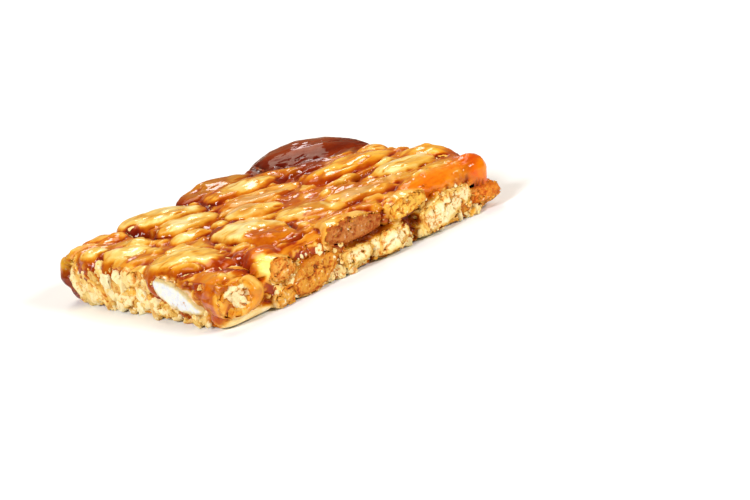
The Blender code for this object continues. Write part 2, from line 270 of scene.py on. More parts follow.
def grain(tree, per_metre, detail, rough, stretch=(1, 1, 1), bend=0.0):
    """Noise from 0 to 1 in the piece's own space, with so many waves to the metre."""
    where = add_node(tree, "ShaderNodeTexCoord").outputs["Object"]
    placed = add_node(tree, "ShaderNodeMapping", {"Vector": where, "Scale": stretch})
    inputs = {
        "Vector": placed.outputs[0],
        "Scale": per_metre,
        "Detail": detail,
        "Roughness": rough,
        "Distortion": bend,
    }
    return add_node(tree, "ShaderNodeTexNoise", inputs).outputs[0]


def swung(tree, from_0_to_1, reach):
    """Noise from 0 to 1 made to swing that far to both sides of 0."""
    return maths(tree, "MULTIPLY_ADD", from_0_to_1, 2 * reach, -reach)


def stored(tree, name):
    """What is stored at the points under a name: its number and its colour."""
    node = add_node(tree, "ShaderNodeAttribute", attribute_name=name)
    return node.outputs["Fac"], node.outputs["Color"]


def new_group(name, inputs, outputs):
    """An empty node group with its named sockets, its input node's outputs and its output node."""
    group = bpy.data.node_groups.new(name, "ShaderNodeTree")
    for way, sockets in (("INPUT", inputs), ("OUTPUT", outputs)):
        for socket, kind in sockets.items():
            group.interface.new_socket(socket, in_out=way, socket_type="NodeSocket" + kind)
    entry = group.nodes.new("NodeGroupInput")
    leave = group.nodes.new("NodeGroupOutput")
    return group, entry.outputs, leave


def finish_material(name):
    """A new material: its node tree and its shader."""
    made = bpy.data.materials.new(name)
    made.use_nodes = True
    return made, made.node_tree, made.node_tree.nodes["Principled BSDF"]


BLOTCHES_PER_METRE = 800
SPECKS_PER_METRE = 3600
# Where the flesh turns pale (random paler dust and a painted highlight where it stands up), toasted
# (random toast and painted shade in hollows) and near black (painted shade in cracks).
DUSTED_AND_LIT_BETWEEN = (-0.20, -0.90)
TOASTED_AND_SHADED_BETWEEN = (0.0, 0.60)
CRACKED_AND_SHADED_BETWEEN = (0.75, 1.20)
PALE_DUST_AND_HIGHLIGHT = (1.0, 0.93, 0.66, 1)
TOAST_AND_SHADE_SHARE = (0.76, 0.38, 0.11, 1)
CRACK_SHADE_COLOUR = (0.19, 0.050, 0.010, 1)


def nut_flesh_group():
    """Nut flesh: its own colour with random blotches and specks, pale dust and a painted highlight
    where it stands up, random toast and painted shade in hollows, near black painted shade in cracks.
    """
    inputs = {"Flesh": "Color", "Tone_And_Shade": "Float"}
    outputs = {"Colour": "Color", "Height": "Float"}
    group, given, leave = new_group("nut_flesh", inputs, outputs)
    blotch = grain(group, BLOTCHES_PER_METRE, 5, 0.6)
    speck = grain(group, SPECKS_PER_METRE, 4, 0.65)
    patchy = swung(group, blotch, 1.0)
    specked = swung(group, speck, 0.75)
    uneven = maths(group, "ADD", patchy, specked)
    shade = maths(group, "ADD", uneven, given["Tone_And_Shade"])
    toast_and_shade = mixed(group, 1.0, given["Flesh"], TOAST_AND_SHADE_SHARE, "MULTIPLY")
    dusted_and_lit = mixed(group, rise(group, shade, *DUSTED_AND_LIT_BETWEEN), given["Flesh"], PALE_DUST_AND_HIGHLIGHT)
    toasted_and_shaded = mixed(group, rise(group, shade, *TOASTED_AND_SHADED_BETWEEN), dusted_and_lit, toast_and_shade)
    cracked_and_shaded = mixed(group, rise(group, shade, *CRACKED_AND_SHADED_BETWEEN), toasted_and_shaded, CRACK_SHADE_COLOUR)
    group.links.new(cracked_and_shaded, leave.inputs["Colour"])
    group.links.new(maths(group, "MULTIPLY", uneven, -1.0), leave.inputs["Height"])
    return group


# The share of red, green and blue light that a millimetre of caramel lets through, and the colour
# of caramel so deep that nothing shows through it.
KEPT_PER_MM = (0.66, 0.325, 0.045)
DEEP_CARAMEL = (0.032, 0.004, 0.0005)


def caramel_group():
    """Light that goes through caramel to the nut and back: the deeper, the redder and darker."""
    inputs = {"Nut Colour": "Color", "Depth": "Float"}
    group, given, leave = new_group("caramel_over_nut", inputs, {"Colour": "Color"})
    split = add_node(group, "ShaderNodeSeparateColor", (given["Nut Colour"],)).outputs
    joined = add_node(group, "ShaderNodeCombineColor")
    for channel, (kept, glow) in enumerate(zip(KEPT_PER_MM, DEEP_CARAMEL)):
        through = maths(group, "POWER", kept, given["Depth"])
        seen = maths(group, "MULTIPLY", split[channel], through)
        own = maths(group, "MULTIPLY", maths(group, "SUBTRACT", 1.0, through), glow)
        group.links.new(maths(group, "ADD", seen, own), joined.inputs[channel])
    group.links.new(joined.outputs[0], leave.inputs["Colour"])
    return group


nut_flesh = nut_flesh_group()
caramel_over_nut = caramel_group()


def flesh_material(name, roughness, grain_depth):
    """Nut flesh with the caramel that soaked into it, matt where it is broken, smooth where whole."""
    made, tree, shader = finish_material(name)
    inputs = {"Flesh": stored(tree, "nut_colour")[1], "Tone_And_Shade": stored(tree, "hollow")[0]}
    flesh = add_node(tree, "ShaderNodeGroup", node_tree=nut_flesh)
    soak = add_node(tree, "ShaderNodeGroup", node_tree=caramel_over_nut)
    for socket, value in inputs.items():
        tree.links.new(value, flesh.inputs[socket])
    tree.links.new(flesh.outputs["Colour"], soak.inputs["Nut Colour"])
    tree.links.new(stored(tree, "soaked")[0], soak.inputs["Depth"])
    tree.links.new(soak.outputs["Colour"], shader.inputs["Base Color"])
    inputs = {"Strength": 0.8, "Distance": grain_depth * METRES, "Height": flesh.outputs["Height"]}
    tree.links.new(add_node(tree, "ShaderNodeBump", inputs).outputs[0], shader.inputs["Normal"])
    shader.inputs["Roughness"].default_value = roughness
    shader.inputs["Specular IOR Level"].default_value = 0.2
    return made


def finish_piece(piece, finish):
    """Brings a finished piece to metres, gives it its material and lets it ride on the block."""
    set_points(piece.data, points_of(piece.data) * METRES)
    piece.data.materials.clear()
    piece.data.materials.append(finish)
    piece.data.shade_smooth()
    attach(piece, "root")


glazed_flesh = flesh_material("glazed_flesh", 0.35, 0.05)
kernels = []
for number, (name, (flesh, film)) in enumerate(GLAZED_KERNELS.items()):
    piece = voxel_skin("nut_" + name, [cad_solid(name, GLAZED_SWELL)], GLAZED_CELL)
    soft = rolled(softened(piece.data, points_of(piece.data), GLAZED_ROUNDS))
    set_points(piece.data, soft)
    dimples = ripples(soft, DIMPLE_SIZE, number, 2) * DIMPLE_DEPTH
    creases = ripples(along_kernel(soft), CREASE_WIDTH, number + 40, 2, CREASE_STRETCH)
    creases *= CREASE_DEPTH
    set_points(piece.data, soft + normals_of(piece.data) * (dimples + creases)[:, None])
    # The creases are darkened: painted shade.
    hollow = GLAZED_HOLLOW - creases * CREASE_SHADE
    put_flesh(piece.data, flesh, hollow, np.full(len(soft), GLAZED_SOAK))
    finish_piece(piece, glazed_flesh)
    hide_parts(name)
    kernels.append({"name": name, "piece": piece, "flesh": flesh, "film": film, "kind": "glazed"})

# --------------------------------------------------------------------------------------------------
# The almond in its skin. One whole almond was left unblanched: a dark red-brown papery skin with
# furrows that run from root to tip, swollen and glossy under the film of caramel.
# --------------------------------------------------------------------------------------------------

ALMOND_CELL = 0.32
ALMOND_SWELL = 0.02
ALMOND_ROUNDS = 10
ALMOND_FILM = 0.16
FURROW_WIDTH = 0.9
FURROW_STRETCH = (9, 1, 1)
FURROW_DEPTH = 0.10
# How much darker the furrows are made: painted shade in them.
FURROW_SHADE = 0.5
SKIN = (0.25, 0.036, 0.006)

almond = voxel_skin(
    "nut_almond_in_skin", [cad_solid("almond_in_skin", ALMOND_SWELL)], ALMOND_CELL
)
soft = softened(almond.data, points_of(almond.data), ALMOND_ROUNDS)
set_points(almond.data, soft)
furrows = ripples(along_kernel(soft), FURROW_WIDTH, 31, 3, FURROW_STRETCH)
set_points(almond.data, soft + normals_of(almond.data) * (furrows * FURROW_DEPTH)[:, None])
# The furrows are darkened: painted shade.
put_flesh(almond.data, SKIN, -furrows * FURROW_SHADE, np.zeros(len(soft)))
finish_piece(almond, flesh_material("papery_skin", 0.3, 0.05))
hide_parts("almond_in_skin")
kernels.append(
    {"name": "almond_in_skin", "piece": almond, "flesh": SKIN, "film": ALMOND_FILM, "kind": "skin"}
)

# --------------------------------------------------------------------------------------------------
# The kernels of the broken sides. The square was snapped from its slab, and these kernels snapped
# with it: their cut faces are bare, porous and crumbly, cream to toasted brown with painted shade in
# their cracks and pores, soaked at the rim.
# --------------------------------------------------------------------------------------------------

HALF_LENGTH = 30.0
HALF_WIDTH = 26.0
CUT_CELL = 0.20
CUT_SWELL = 0.12
CUT_ROUNDS = 3
FACES_OUT_BETWEEN = (0.30, 0.70)
CUT_DEPTH_BETWEEN = (2.6, 1.4)
WAVE_SIZE = 2.6
WAVE_DEPTH = 0.10
RIM = 0.8
RIM_SOAK = 0.45

# Broken flesh: big and small chips with cracks between them, and pores. What each does to the
# height of the surface, and how much paler or darker it makes the flesh: standing chips are paler, a
# painted highlight, and sunk chips, cracks and pores darker, painted shade.
BIG_CHIP = 2.6
SMALL_CHIP = 0.9
PORES = 0.5
BIG_CHIP_STEP = 0.34
SMALL_CHIP_STEP = 0.15
DEEP_CRACK = 0.45
FINE_CRACK = 0.15
PORE_DEPTH = 0.10
BIG_CHIP_PALER = 0.2
SMALL_CHIP_PALER = 0.15
DEEP_CRACK_DARKER = 1.1
FINE_CRACK_DARKER = 0.4
PORE_DARKER = 0.6

TOASTED = (0.62, 0.27, 0.05)
CHALK = (0.78, 0.80, 0.84)

# The flesh of each kernel, how crumbly it is and how thick the caramel lies on its back.
CUT_KERNELS = {
    "corner_broken_end": ((0.92, 0.50, 0.04), 0.5, 0.62),
    "left_white_cut": (CHALK, 0.1, 0.25),
    "side_half_moon": ((0.72, 0.31, 0.03), 0.9, 0.25),
    "side_long_slab": ((0.56, 0.19, 0.035), 0.9, 0.35),
    "side_cream_chunk": (CREAM, 1.0, 0.25),
    "side_cream_large": (CREAM, 1.2, 0.25),
    "side_big_cream": (CREAM, 1.0, 0.25),
    "side_upper_piece": (GOLDEN, 1.1, 0.30),
    "side_right_low": (AMBER, 0.5, 0.50),
    "side_orange_chunk": ((0.84, 0.39, 0.06), 1.2, 0.25),
    "side_low_small": ((0.78, 0.38, 0.05), 1.0, 0.30),
    "left_slice_outer": (CREAM, 0.6, 0.30),
    "left_slice_inner": (PALE, 0.6, 0.30),
    "left_low_cream": (CREAM, 1.0, 0.20),
    "left_upper_chunk": (PALE, 0.8, 0.25),
    "left_low_front": (CREAM, 1.0, 0.20),
}
FLESH_AT_BACK = (CREAM, PALE, PEACH, CREAM)
FLESH_AT_RIGHT = (TOASTED, PALE, CREAM, GOLDEN)
for side, fleshes in (("back", FLESH_AT_BACK), ("right", FLESH_AT_RIGHT)):
    for number, flesh in enumerate(fleshes):
        CUT_KERNELS[f"{side}_low_{number + 1}"] = (flesh, 0.9, 0.25)

# The kernel at the front corner broke across: a swollen rim round a sunk, crumbly, pale middle.
# Its hole and its rim are measured in radii of the ring.
RING_MIDDLE = (-25.6, -25.4, 5.0)
RING_FACES = (-0.52, -0.80, 0.28)
RING_RADIUS = 4.6
RING_HOLE = 0.50
RING_HOLE_EDGE = 0.06
RING_RIM = 0.75
RING_RIM_WIDTH = 0.20
RING_BULGE = 0.50
RING_SINK = 0.90
RING_CRUMBLE = 1.6

# The cut that shows white as chalk is clean: nothing toasted shows on it.
WHITE_CUT_CLEANER = 0.35


def way_out(points):
    """The direction of the nearest broken side from each point, and how deep the point lies."""
    gaps = np.stack(
        [
            HALF_LENGTH - points[:, 0],
            HALF_LENGTH + points[:, 0],
            HALF_WIDTH - points[:, 1],
            HALF_WIDTH + points[:, 1],
        ],
        axis=1,
    )
    ways = np.array([(1, 0, 0), (-1, 0, 0), (0, 1, 0), (0, -1, 0)], dtype=float)
    return ways[gaps.argmin(1)], gaps.min(1)


def chips(points, size, seed):
    """How far the chip at each point stands out, from about -1 to 1, and the cracks between chips,
    where it is 1. Each chip stands at its own height and leans its own way."""
    stands = np.empty(len(points))
    gap = np.empty(len(points))
    for number, point in enumerate(points / size + seed * 11.7):
        away, centres = noise.voronoi(Vector(point))
        own = noise.cell_vector(centres[0] * 9.1)
        lean = own - Vector((0.5, 0.5, 0.5))
        stands[number] = (own.x - 0.5) * 1.2 + (Vector(point) - centres[0]).dot(lean) * 2.0
        gap[number] = away[1] - away[0]
    return stands, ramp(0.13, 0.0, gap)


def broken_up(points, seed, crumbly):
    """How far each point of a broken face moves out, and its painted shade: darker in cracks, pores
    and on sunk chips, paler on standing chips.
    """
    big, deep_cracks = chips(points, BIG_CHIP, seed)
    small, fine_cracks = chips(points, SMALL_CHIP, seed + 1)
    pores = ripples(points, PORES, seed + 2, 4)
    opened = ramp(-0.05, 0.30, ripples(points, 2.0, seed + 3, 2))
    cut_in = (DEEP_CRACK * deep_cracks + FINE_CRACK * fine_cracks) * opened
    out = BIG_CHIP_STEP * big + SMALL_CHIP_STEP * small - cut_in + PORE_DEPTH * pores
    darker = (DEEP_CRACK_DARKER * deep_cracks + FINE_CRACK_DARKER * fine_cracks) * opened
    hollow = darker - BIG_CHIP_PALER * big - SMALL_CHIP_PALER * small - PORE_DARKER * pores
    return out * crumbly, hollow * (0.4 + 0.6 * crumbly)


def inside_rim(points, bare):
    """How far each bare point lies from the edge of its broken face."""
    edge = KDTree(int((~bare).sum()))
    for number, point in enumerate(points[~bare]):
        edge.insert(point, number)
    edge.balance()
    return np.array([edge.find(p)[2] if b else 0.0 for p, b in zip(points, bare)])


def round_ring(points):
    """How far each point lies from the axis of the broken corner kernel, in radii of its rim."""
    away = points - RING_MIDDLE
    faces = np.array(RING_FACES) / np.linalg.norm(RING_FACES)
    across = away - (away @ faces)[:, None] * faces
    return np.linalg.norm(across, axis=1) / RING_RADIUS


broken_flesh = flesh_material("broken_flesh", 0.55, 0.12)
for number, (name, (flesh, crumbly, film)) in enumerate(CUT_KERNELS.items()):
    piece = voxel_skin("nut_" + name, [cad_solid(name, CUT_SWELL)], CUT_CELL)
    soft = softened(piece.data, points_of(piece.data), CUT_ROUNDS)
    set_points(piece.data, soft)
    normals = normals_of(piece.data)
    outward, depth = way_out(soft)
    cut = ramp(*FACES_OUT_BETWEEN, (normals * outward).sum(1)) * ramp(*CUT_DEPTH_BETWEEN, depth)
    colour = np.broadcast_to(flesh, soft.shape).copy()
    out, hollow = broken_up(soft, number * 3 + 50, crumbly)
    rim = inside_rim(soft, cut > 0.5)
    if name == "corner_broken_end":
        away = round_ring(soft)
        middle = ramp(RING_HOLE + RING_HOLE_EDGE, RING_HOLE - RING_HOLE_EDGE, away)
        swollen = np.exp(-(((away - RING_RIM) / RING_RIM_WIDTH) ** 2))
        out = out * RING_CRUMBLE * middle + (RING_BULGE * swollen - RING_SINK * middle)
        hollow = hollow * middle
        colour += (np.array(CREAM) - colour) * middle[:, None]
        rim = np.where(middle > 0.5, 1.0, 0.0)
    waves = ripples(soft, WAVE_SIZE, number + 20, 2) * WAVE_DEPTH
    out = out * cut * ramp(0, RIM, rim + 0.4) + waves
    set_points(piece.data, soft + normals * out[:, None])
    if name == "left_white_cut":
        hollow = hollow - WHITE_CUT_CLEANER
    hollow = np.where(cut > 0.5, hollow, hollow * 0.3)
    uneven_rim = rim + 0.3 * ripples(soft, 1.2, number, 2)
    put_flesh(piece.data, colour, hollow, RIM_SOAK * ramp(RIM, 0.1, uneven_rim))
    finish_piece(piece, broken_flesh)
    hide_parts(name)
    coated = tuple(np.maximum(flesh, PEACH))
    kernels.append({"name": name, "piece": piece, "flesh": coated, "film": film, "kind": "cut"})

# --------------------------------------------------------------------------------------------------
# The caramel. Sugar boiled to hard crack, poured over the kernels and rolled level: it stands
# between them as dark red-brown glass, runs up their flanks and coats their backs with a gold film.
# --------------------------------------------------------------------------------------------------

CARAMEL_CELL = 0.29
CARAMEL_ROUNDS = 5
LUMP_ROUNDS = 90
LUMP_SHARE = 0.85
CAVITY_ROUNDS = 40
POURED_FILM = 0.30
FILLED_LEVEL = 9.1
FILLED_SHARE = 0.9
EDGE_DROP = 1.0
PIT_DEPTH = 1.7
WALL_RECESS = 1.3
UNDERSIDE = 0.12
UNDERSIDE_KEPT = 0.76

# The film over a kernel: how far it stands off, thicker in pools and down a flank than on a back.
NEAR_KERNEL = 1.8
FILM_OFF = 0.25
FILM_SWELLS = 0.10
THINNEST_FILM = 0.05
BACK_SHARE = 0.08
POOL_SHARE = 0.8
CUT_FLANK = 0.4
GLAZED_FLANK = 2.6
CLINGS_BELOW = 0.55
FREE_ABOVE = 1.15
BARE_SINK = 0.55
BARE_DEPTH = 2.2

# The seams that run round the kernels a little way off, and the bits of nut under the surface.
SEAM_AT = 0.66
SEAM_WIDTH = 0.26
SEAM_DEPTH = 0.34
CRACK_DEPTH = 0.14
CRUMB_HEIGHT = 0.35
BIT_SIZE = 2.8
BIT_HEIGHT = 0.5

# How much deeper the caramel seems in each kind of place. The cavity, pit, seam, crack, wall and
# swirl amounts are painted shade; the foot amount is caramel pooled round a kernel's foot and painted
# shade.
DEEPEST_TONE = 0.9
DEEPER_PLACES = 1.1
CAVITY_SHADE = 3.2
PIT_SHADE = 2.6
FOOT_POOL_AND_SHADE = 1.5
SEAM_SHADE = 2.6
CRACK_SHADE = 1.4
STREAK_TONE = 0.5
WALL_GAP_SHADE = 1.4
CRUMB_FILM = 0.2
BIT_FILM = 0.35

# Hollows in the top where the caramel sank between kernels: middle and half sizes.
PITS = (
    ((-21.8, -20.6), (2.6, 4.8)),
    ((-17.2, 16.0), (1.7, 6.0)),
    ((-9.9, 4.2), (3.2, 1.4)),
    ((12.2, 10.4), (3.2, 1.6)),
    ((15.6, -8.8), (2.6, 1.7)),
    ((-13.2, -3.2), (2.0, 1.1)),
    ((-10.2, -21.8), (3.6, 1.5)),
    ((-13.8, -16.8), (1.5, 2.8)),
    ((-6.4, 11.4), (2.6, 1.1)),
)

# Places where light glows through, painted into their colour, or where the caramel is darker or paler
# than round about:
# middle, half sizes, the colour of what lies beneath, and how deep the caramel seems.
# First the lumps, which are rounded off and painted bright as a glow of light through them: at the
# right corner, beside it, and the yellow web.
LUMPS = (
    ((27.8, -23.0, 7.0), (4.6, 5.0, 4.8), (0.97, 0.24, 0.004), 0.80),
    ((18.5, -23.6, 8.2), (8.5, 3.0, 2.4), (1.0, 0.38, 0.02), 0.60),
    ((-19.3, -25.2, 8.0), (2.1, 2.8, 2.5), (1.0, 0.90, 0.30), 0.12),
)

# Then those where the caramel stands full, with no bits in it: the heart of the lump, painted with
# the glow of light through it, the foot and flank of the almond in its skin, darkened as painted
# shade, a golden flank, the pale foot of the front corner, the red hollow, the gap beside the white
# cut, the strip at the left corner and its foot, and below the lump.
FLUSH_PLACES = (
    ((28.6, -24.4, 7.6), (2.7, 2.7, 2.4), (1.0, 0.34, 0.002), 0.40),
    ((14.0, 8.8, 10.0), (6.4, 3.4, 2.8), (0.42, 0.09, 0.010), 1.4),
    ((23.0, 9.6, 8.4), (8.5, 3.4, 2.4), (0.26, 0.035, 0.004), 0.8),
    ((-11.4, -16.0, 9.6), (4.4, 5.0, 2.4), (0.90, 0.52, 0.04), 1.10),
    ((-25.0, -25.0, 0.6), (6.5, 4.0, 1.7), (0.98, 0.82, 0.50), 0.06),
    ((-22.4, -20.6, 8.5), (3.8, 6.0, 2.2), (0.86, 0.40, 0.02), 2.4),
    ((-30.0, -22.8, 5.0), (2.2, 2.9, 3.8), (0.82, 0.36, 0.02), 1.4),
    ((-29.8, 24.6, 7.4), (3.2, 4.0, 2.0), (0.76, 0.56, 0.08), 0.60),
    ((-29.8, 24.4, 3.2), (3.2, 4.4, 3.6), (0.50, 0.26, 0.03), 2.2),
    ((30.4, -19.0, 3.6), (2.6, 5.5, 3.4), (0.50, 0.26, 0.02), 2.0),
)

# Last those that differ in colour alone: two dark patches in the front wall, painted shade of gaps
# there, and a golden strip beside the almond's foot.
TINTED_PLACES = (
    ((10.6, -26.0, 4.4), (2.4, 2.4, 2.0), (0.40, 0.24, 0.02), 2.8),
    ((1.5, -26.0, 5.2), (6.0, 2.4, 0.9), (0.40, 0.24, 0.02), 2.6),
    ((15.5, 4.4, 10.0), (6.0, 1.8, 2.4), (0.72, 0.30, 0.02), 0.9),
)
WINDOWS = LUMPS + FLUSH_PLACES + TINTED_PLACES

# Pale pinkish patches painted on up-facing glaze as a reflection of the bright backdrop, a painted
# sheen: middle, half sizes, colour.
PAINTED_SHEEN_PLACES = (
    ((-0.9, 5.2), (6.4, 4.4), (0.74, 0.46, 0.32)),
    ((-7.2, -3.3), (4.2, 3.2), (0.97, 0.70, 0.46)),
    ((10.6, -15.6), (7.0, 2.8), (0.66, 0.38, 0.24)),
)
PAINTED_SHEEN_SHARE = 0.65
PAINTED_SHEEN_DEPTH = 0.20

# The glaze over the kernel at the left front corner dried in an oval ring with a line round it. The
# line is a groove, darkened as painted shade.
SWIRL_MIDDLE = (-27.4, -13.8)
SWIRL_ALONG = (0.52, -0.85)
SWIRL_ACROSS = (0.85, 0.52)
SWIRL_HALF_SIZES = (3.0, 1.7)
SWIRL_HEIGHT = 0.28
SWIRL_LINE_SHADE = 1.3


def grown(piece, film):
    """A finished piece as a solid in millimetres, with a film all round."""
    bm = bmesh.new()
    bm.from_mesh(piece.data)
    bmesh.ops.scale(bm, vec=(1 / METRES,) * 3, verts=bm.verts)
    bm.normal_update()
    for vert in bm.verts:
        vert.co += vert.normal * film
    return bm


def joined_tree(pieces):
    """A search tree over all pieces in millimetres, and the piece that each face belongs to."""
    corners, faces, owner = [], [], []
    start = 0
    for number, piece in enumerate(pieces):
        corners.append(points_of(piece.data) / METRES)
        faces += [[corner + start for corner in face.vertices] for face in piece.data.polygons]
        owner += [number] * len(piece.data.polygons)
        start += len(piece.data.vertices)
    return BVHTree.FromPolygons(np.concatenate(corners).tolist(), faces), np.array(owner)


def nearest_kernel(tree, points):
    """For each point the nearest kernel's surface: its place, its way out and its face."""
    found = [tree.find_nearest(point) for point in points]
    place = np.array([hit[0] for hit in found])
    way = np.array([hit[1] for hit in found])
    return place, way, np.array([hit[2] for hit in found])


def look_inward(tree, points, normals, longest=5.0, step_back=0.5):
    """How far a look straight into the caramel goes before it meets a kernel."""
    reach = np.full(len(points), longest)
    for number, (point, normal) in enumerate(zip(points, normals)):
        start = Vector(point + normal * step_back)
        hit = tree.ray_cast(start, Vector(-normal), longest + step_back)
        if hit[0] is not None:
            reach[number] = max(hit[3] - step_back, 0.0)
    return reach


def within(points, middle, half_sizes, edge):
    """1 well inside an egg-shaped space, 0 outside it, with an uneven edge between."""
    count = len(middle)
    away = np.linalg.norm((points[:, :count] - middle) / half_sizes, axis=1)
    return ramp(1.1, 0.65, away + edge)


def in_any(points, spaces, edge):
    """1 well inside any of the spaces, 0 outside them all."""
    return np.max([within(points, *space[:2], edge) for space in spaces], axis=0)


def band(values, middle, width):
    """1 at a middle value, falling to 0 on both sides of it."""
    return np.exp(-(((values - middle) / width) ** 2))


nuts = [kernel["piece"] for kernel in kernels]
nut_tree, owner = joined_tree(nuts)
solids = [cad_solid("caramel"), *(grown(piece, POURED_FILM) for piece in nuts)]
caramel = voxel_skin("caramel_glaze", solids, CARAMEL_CELL)
points = softened(caramel.data, points_of(caramel.data), CARAMEL_ROUNDS)
set_points(caramel.data, points)
normals = normals_of(caramel.data)
uneven = 0.35 * ripples(points, 1.4, 14, 3)
edge = uneven * 0.5

# On top it fills up to a level between the kernels, lower along the edge, and sinks in the pits.
upward = ramp(0.2, 0.7, normals[:, 2])
pit = in_any(points, PITS, 0.6 * uneven) * (upward * ramp(6.0, 7.5, points[:, 2]))
near_pit = ramp(0.0, 0.25, softened(caramel.data, pit, 12))
outward, depth = way_out(points)
fill_to = pressed_to(points, FILLED_LEVEL) + 0.5 * ripples(points, 6.0, 44, 3)
fill_to -= EDGE_DROP * ramp(2.6, 0.0, depth)
lift = np.clip(fill_to - points[:, 2], 0, None) * upward * ramp(5.5, 7.0, points[:, 2])
points[:, 2] += softened(caramel.data, lift * (1 - pit), 2) * FILLED_SHARE
points[:, 2] -= PIT_DEPTH * pit

# The lumps are rounded off. The walls sink in unevenly, but not where the caramel stands full.
blended = softened(caramel.data, points, LUMP_ROUNDS)
points += (blended - points) * (in_any(points, LUMPS, edge) * LUMP_SHARE)[:, None]
full_corner = ramp(21.0, 25.0, points[:, 0]) * ramp(-15.0, -20.0, points[:, 1])
clear = in_any(points, LUMPS + FLUSH_PLACES, edge)
wall = ramp(0.35, 0.75, (normals * outward).sum(1)) * ramp(9.0, 7.5, points[:, 2])
wall = softened(caramel.data, wall * (1 - clear) * (1 - full_corner), 4)
pushed = WALL_RECESS * (0.25 + 0.75 * ramp(-0.3, 0.4, ripples(points, 3.0, 33, 3)))
points -= outward * (wall * pushed)[:, None]
set_points(caramel.data, points)

place, way, face = nearest_kernel(nut_tree, points)
which = owner[face]
height = ((points - place) * way).sum(1)
distance = np.linalg.norm(points - place, axis=1)
film_of = np.array([kernel["film"] for kernel in kernels])
flesh_of = np.array([kernel["flesh"] for kernel in kernels])
is_cut = np.array([kernel["kind"] == "cut" for kernel in kernels])[which]
is_ring = np.array([kernel["name"] == "corner_broken_end" for kernel in kernels])[which]

# Near a kernel the surface follows it as a film, and it draws back from broken faces.
waves = ripples(points, 4.0, 5, 4)
streaks = ripples(points, 0.9, 8, 3, stretch=(8, 1, 1))
flank = (1 - np.clip(way[:, 2], 0, 1)) * np.where(is_cut, CUT_FLANK, GLAZED_FLANK)
pooled = BACK_SHARE + POOL_SHARE * ramp(-0.05, 0.25, waves) + flank
film = np.maximum(film_of[which] * pooled + 0.05 * streaks, THINNEST_FILM)
lies = FILM_OFF + FILM_SWELLS * np.minimum(film, 1.0)
wanted = lies + ramp(CLINGS_BELOW, FREE_ABOVE, height) * (height - lies)
outward, depth = way_out(place)
facing = (way * outward).sum(1)
bare = is_cut & (facing + edge > 0.45) & (depth < BARE_DEPTH) & (distance < NEAR_KERNEL)
bare &= ~is_ring | (round_ring(points) < RING_HOLE)
wanted = np.where(bare, -BARE_SINK, wanted)
moved = np.where(distance < NEAR_KERNEL, wanted - height, 0.0)
moved[points[:, 2] < UNDERSIDE] = 0
points = points + way * moved[:, None]
set_points(caramel.data, points)

# Fine relief: streaks, cracks, seams round the kernels, bits under the surface, crumbs, the swirl.
normals = normals_of(caramel.data)
upward = ramp(0.3, 0.8, normals[:, 2]) * ~bare
lines = ripples(points, 0.8, 15, 2, stretch=(6, 1, 1))
cracks = ramp(0.38, 0.48, lines) * ramp(-0.1, 0.3, ripples(points, 6.0, 16, 2)) * upward
bits = ramp(0.14, 0.34, ripples(points, BIT_SIZE, 81, 1, stretch=(1.5, 1, 1)))
bits *= upward * (1 - near_pit) * (1 - clear) * ramp(0.35, 0.95, distance)
crumbed = ramp(0.12, 0.30, ripples(points, 0.9, 60, 3)) * wall * ~bare * ramp(0.3, 0.9, distance)
seams = band(distance, SEAM_AT, SEAM_WIDTH) * upward
seams *= ramp(-0.12, 0.20, ripples(points, 3.5, 71, 2)) * (1 - bits)
turned = (points[:, :2] - SWIRL_MIDDLE) @ np.array((SWIRL_ALONG, SWIRL_ACROSS)).T
swirl = np.linalg.norm(turned / SWIRL_HALF_SIZES, axis=1) + 0.3 * edge
swirl_ring = band(swirl, 0.80, 0.17) * upward
swirl_line = band(swirl, 1.10, 0.12) * upward
relief = (0.02 + 0.05 * ramp(0.3, 0.9, distance)) * streaks * upward
relief += CRUMB_HEIGHT * crumbed - CRACK_DEPTH * cracks - SEAM_DEPTH * seams
relief += SWIRL_HEIGHT * (swirl_ring - swirl_line)
relief += BIT_HEIGHT * bits
points += normals * relief[:, None]
points[:, 2] = np.maximum(points[:, 2], 0)
set_points(caramel.data, points)

# How deep the caramel seems at each point: what lies over the kernel, with painted shade added in
# hollows, pits, seams, cracks, sunk walls and the swirl's line, and round each kernel's foot.
normals = normals_of(caramel.data)
inward = look_inward(nut_tree, points, normals)
# How far a point lies below the smoothed surface: hollows are darkened by it, painted shade.
hidden = ((softened(caramel.data, points, CAVITY_ROUNDS) - points) * normals).sum(1)
deep = 0.45 * inward + 0.9 * np.maximum(distance - 0.35, 0)
deepest = DEEPEST_TONE + DEEPER_PLACES * ramp(0.0, 0.35, ripples(points, 5.0, 91, 2))
deep = deepest * (1 - np.exp(-deep / deepest)) + CAVITY_SHADE * np.clip(hidden - 0.06, 0, 1)
# Round each kernel's foot the caramel pools deeper, and the foot is darkened further as painted
# shade.
crest = np.array([points_of(nut.data)[:, 2].max() / METRES for nut in nuts])[which]
foot = ramp(0.35, 1.4, crest - points[:, 2]) * ramp(1.6, 0.8, distance) * ~is_cut
# Pits are darkened further: painted shade.
thick = np.maximum(np.where(bare, 0.1, film), deep) + PIT_SHADE * pit + FOOT_POOL_AND_SHADE * foot
in_streaks = STREAK_TONE * streaks * upward * ramp(0.2, 0.8, deep)
# Cracks and seams are darkened: painted shade in the grooves.
thick += CRACK_SHADE * cracks + SEAM_SHADE * seams + in_streaks
# The sunk walls between side kernels are darkened: painted shade.
gap = wall * ~bare * ramp(0.35, 0.9, distance)
thick += WALL_GAP_SHADE * gap + SWIRL_LINE_SHADE * swirl_line
thick += (CRUMB_FILM - thick) * crumbed
thick += (BIT_FILM - thick) * bits * 0.85

